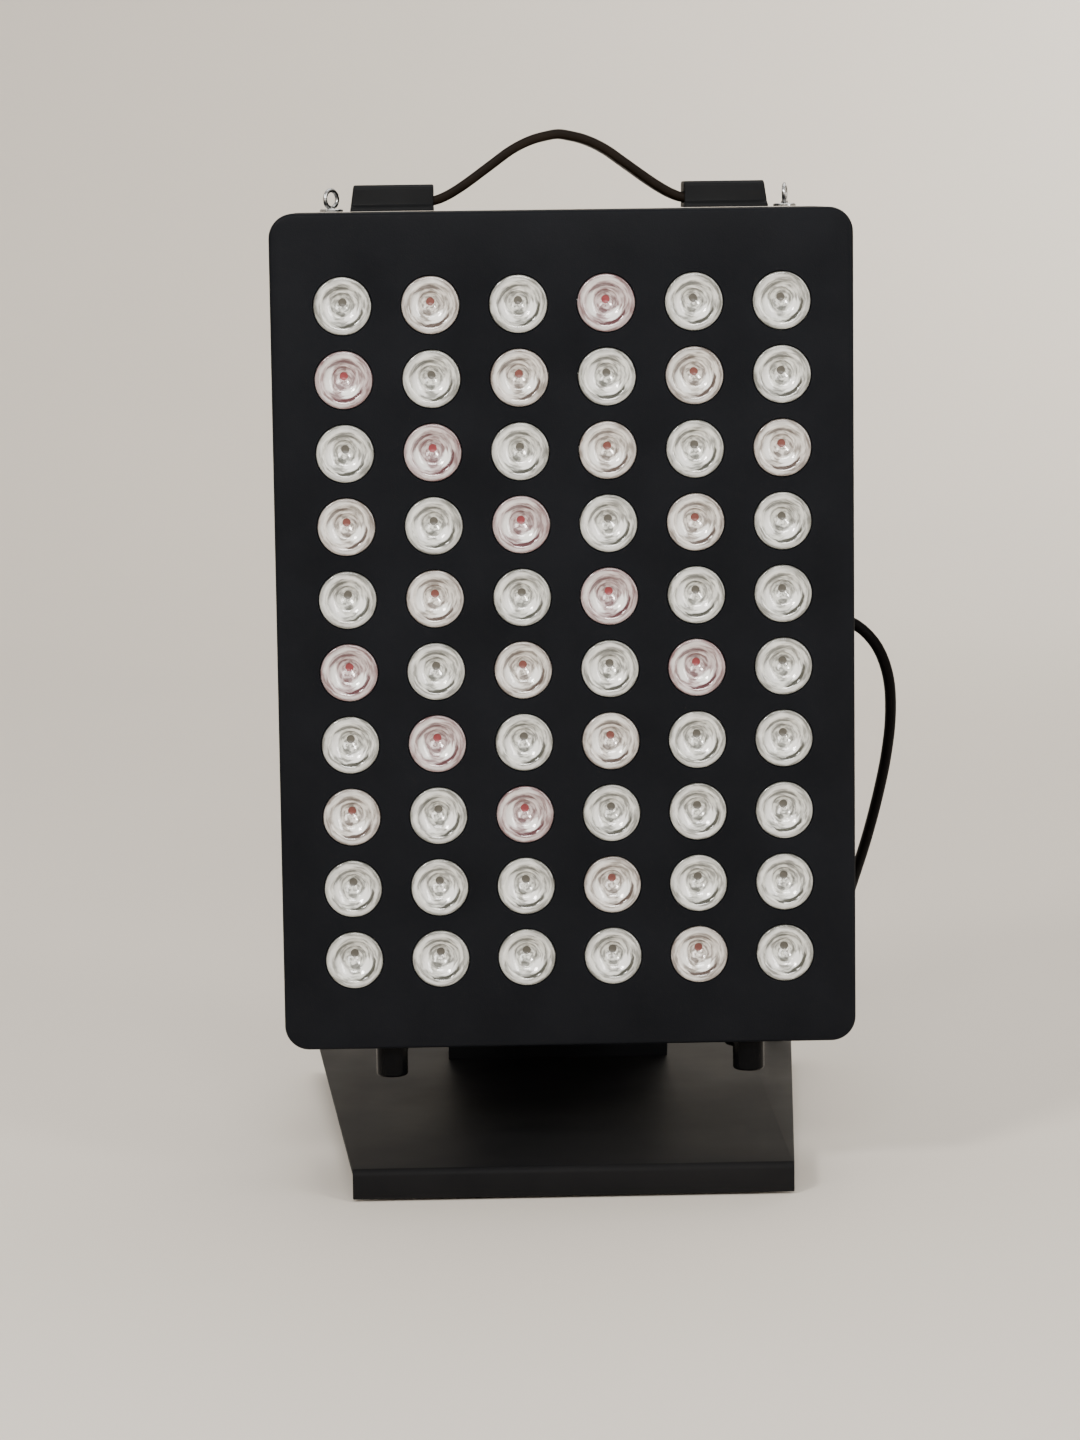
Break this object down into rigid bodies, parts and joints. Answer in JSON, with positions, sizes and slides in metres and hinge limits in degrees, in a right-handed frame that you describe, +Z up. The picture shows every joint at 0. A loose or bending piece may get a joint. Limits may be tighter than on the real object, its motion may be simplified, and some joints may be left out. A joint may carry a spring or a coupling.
{
  "type": "red light therapy panel",
  "caption": "Upright light panel with rows of round lenses, a carrying strap and small hanging eyes, tilting on a leaning neck above a flat folded base.",
  "frame": {"origin": "on the table, under the middle of the base plate", "axes": "+Z up, -Y out of the lens face, +X to the right as seen from the front"},
  "size_m": [0.2363, 0.3319, 0.3886],
  "materials": {
    "powder_black": "fine satin powder coat",
    "base_black": "smooth semi-gloss paint",
    "clear_lens": "clear moulded, polished",
    "board_white": "white solder mask",
    "bare_aluminium": "extruded, bare",
    "plain_steel": "zinc plated",
    "chrome": "polished",
    "black_plastic": "satin moulded",
    "gloss_rubber": "glossy",
    "strap_rubber": "satin",
    "cord_sheath": "satin",
    "driver_case": "matt moulded"
  },
  "bodies": {
    "stand": {"base_plate": "base_black", "base_pad_front_left": "gloss_rubber", "base_pad_front_right": "gloss_rubber", "base_pad_rear_left": "gloss_rubber", "base_pad_rear_right": "gloss_rubber", "neck": "powder_black", "foot_screw_left": "plain_steel", "foot_screw_right": "plain_steel", "tilt_bolt": "plain_steel", "cord_lead": "cord_sheath", "cord_coil": "cord_sheath", "cord_tail": "cord_sheath", "mains_plug": "black_plastic", "coil_tie": "black_plastic"},
    "panel": {"front_shell": "powder_black", "rear_cover": "powder_black", "led_board": "board_white", "heat_sink": "bare_aluminium", "lens_row_1": "clear_lens", "lens_row_2": "clear_lens", "lens_row_3": "clear_lens", "lens_row_4": "clear_lens", "lens_row_5": "clear_lens", "lens_row_6": "clear_lens", "lens_row_7": "clear_lens", "lens_row_8": "clear_lens", "lens_row_9": "clear_lens", "lens_row_10": "clear_lens", "standoff_upper_left": "plain_steel", "standoff_upper_right": "plain_steel", "standoff_lower_left": "plain_steel", "standoff_lower_right": "plain_steel", "driver_left": "driver_case", "driver_right": "driver_case", "fan_frame_upper": "black_plastic", "fan_frame_lower": "black_plastic", "fan_grille_upper": "plain_steel", "fan_grille_lower": "plain_steel", "power_inlet": "black_plastic", "inlet_plug": "black_plastic", "switch_bezel_red": "black_plastic", "switch_bezel_infrared": "black_plastic", "handle_cap_left": "black_plastic", "handle_cap_right": "black_plastic", "handle_strap": "strap_rubber", "rubber_foot_front_left": "gloss_rubber", "rubber_foot_front_right": "gloss_rubber", "rubber_foot_rear_left": "gloss_rubber", "rubber_foot_rear_right": "gloss_rubber", "tilt_bracket": "powder_black", "bracket_screw_upper": "plain_steel", "bracket_screw_lower": "plain_steel"},
    "knob": {"tilt_knob": "black_plastic"},
    "rotor_upper": {"fan_rotor_upper": "black_plastic"},
    "rotor_lower": {"fan_rotor_lower": "black_plastic"},
    "rocker_red": {"switch_rocker_red": "black_plastic"},
    "rocker_infrared": {"switch_rocker_infrared": "black_plastic"},
    "eye_left": {"hanging_eye_left": "chrome"},
    "eye_right": {"hanging_eye_right": "chrome"}
  },
  "joints": [
    {"name": "panel_tilt", "type": "hinge", "parent": "stand", "child": "panel", "pos_m": [0, -0.017, 0.203], "axis": [1, 0, 0], "range_deg": [-20, 15]},
    {"name": "knob_turn", "type": "hinge", "parent": "stand", "child": "knob", "pos_m": [-0.0453, -0.017, 0.203], "axis": [1, 0, 0], "continuous": true},
    {"name": "rotor_upper_spin", "type": "hinge", "parent": "panel", "child": "rotor_upper", "pos_m": [0, -0.04895, 0.299], "axis": [0, 1, 0], "continuous": true},
    {"name": "rotor_lower_spin", "type": "hinge", "parent": "panel", "child": "rotor_lower", "pos_m": [0, -0.04895, 0.115], "axis": [0, 1, 0], "continuous": true},
    {"name": "rocker_red_press", "type": "hinge", "parent": "panel", "child": "rocker_red", "pos_m": [0.075, -0.0402, 0.159], "axis": [1, 0, 0], "range_deg": [0, 20]},
    {"name": "rocker_infrared_press", "type": "hinge", "parent": "panel", "child": "rocker_infrared", "pos_m": [0.075, -0.0402, 0.129], "axis": [1, 0, 0], "range_deg": [0, 20]},
    {"name": "eye_left_swivel", "type": "hinge", "parent": "panel", "child": "eye_left", "pos_m": [-0.083, -0.071, 0.3598], "axis": [0, 0, 1], "continuous": true},
    {"name": "eye_right_swivel", "type": "hinge", "parent": "panel", "child": "eye_right", "pos_m": [0.083, -0.071, 0.3598], "axis": [0, 0, 1], "continuous": true}
  ]
}
